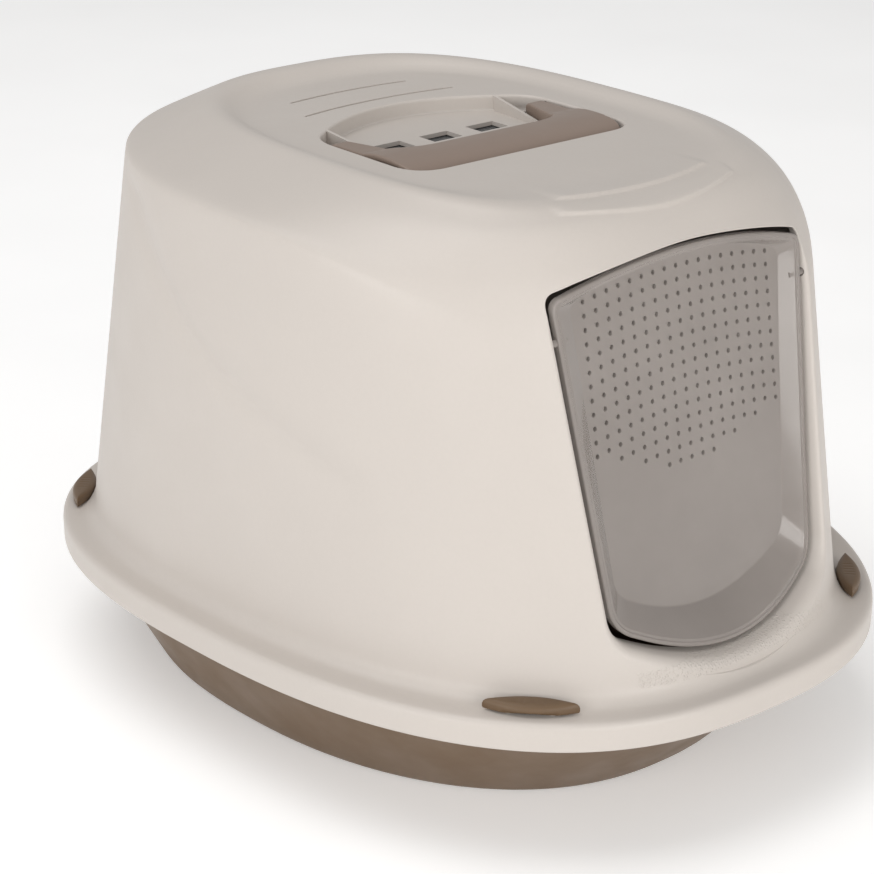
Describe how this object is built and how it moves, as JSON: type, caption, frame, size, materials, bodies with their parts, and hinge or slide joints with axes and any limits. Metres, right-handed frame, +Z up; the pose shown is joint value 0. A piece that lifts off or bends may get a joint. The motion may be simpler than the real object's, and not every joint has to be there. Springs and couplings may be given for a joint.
{
  "type": "cat litter box with hood",
  "caption": "Hooded cat litter box: egg-shaped tray and domed hood with a swinging smoked flap, folding carry handle over a carbon filter, and clips on the flange.",
  "frame": {"origin": "on the floor, under the middle of the hood's flange", "axes": "+Z up, -Y towards the flap at the front, -X the hood's left side as seen from the front"},
  "size_m": [0.4338, 0.5396, 0.364],
  "materials": {
    "cream": "fine satin",
    "taupe": "satin",
    "greige": "semi-gloss",
    "smoke": "clear smoked, polished",
    "carbon": "felt"
  },
  "bodies": {
    "base": {"tray": "taupe"},
    "cover": {"hood": "cream"},
    "flap": {"door_flap": "smoke"},
    "handle": {"carry_handle": "greige"},
    "filter": {"filter_holder": "taupe", "filter_pad": "carbon"},
    "front_left_clip": {"clip_front_left": "taupe"},
    "front_right_clip": {"clip_front_right": "taupe"},
    "rear_left_clip": {"clip_rear_left": "taupe"},
    "rear_right_clip": {"clip_rear_right": "taupe"}
  },
  "joints": [
    {"name": "hood_lift", "type": "slide", "parent": "base", "child": "cover", "axis": [0, 0, 1], "range_m": [0, 0.15]},
    {"name": "flap_swing", "type": "hinge", "parent": "cover", "child": "flap", "pos_m": [0, -0.1835, 0.2915], "axis": [1, 0, 0], "range_deg": [-75, 80]},
    {"name": "handle_lift", "type": "hinge", "parent": "cover", "child": "handle", "pos_m": [0, 0.025, 0.3506], "axis": [-1, 0, 0], "range_deg": [0, 95]},
    {"name": "filter_slide", "type": "slide", "parent": "cover", "child": "filter", "axis": [0, -1, 0], "range_m": [0, 0.095]},
    {"name": "front_left_clip_turn", "type": "hinge", "parent": "cover", "child": "front_left_clip", "pos_m": [-0.13121, -0.21024, 0.0954], "axis": [0.6926, -0.7213, 0], "range_deg": [0, 12]},
    {"name": "front_right_clip_turn", "type": "hinge", "parent": "cover", "child": "front_right_clip", "pos_m": [0.13121, -0.21024, 0.0954], "axis": [0.6926, 0.7213, 0], "range_deg": [0, 12]},
    {"name": "rear_left_clip_turn", "type": "hinge", "parent": "cover", "child": "rear_left_clip", "pos_m": [-0.16187, 0.20448, 0.0954], "axis": [-0.6637, -0.748, 0], "range_deg": [0, 12]},
    {"name": "rear_right_clip_turn", "type": "hinge", "parent": "cover", "child": "rear_right_clip", "pos_m": [0.16187, 0.20448, 0.0954], "axis": [-0.6637, 0.748, 0], "range_deg": [0, 12]}
  ]
}
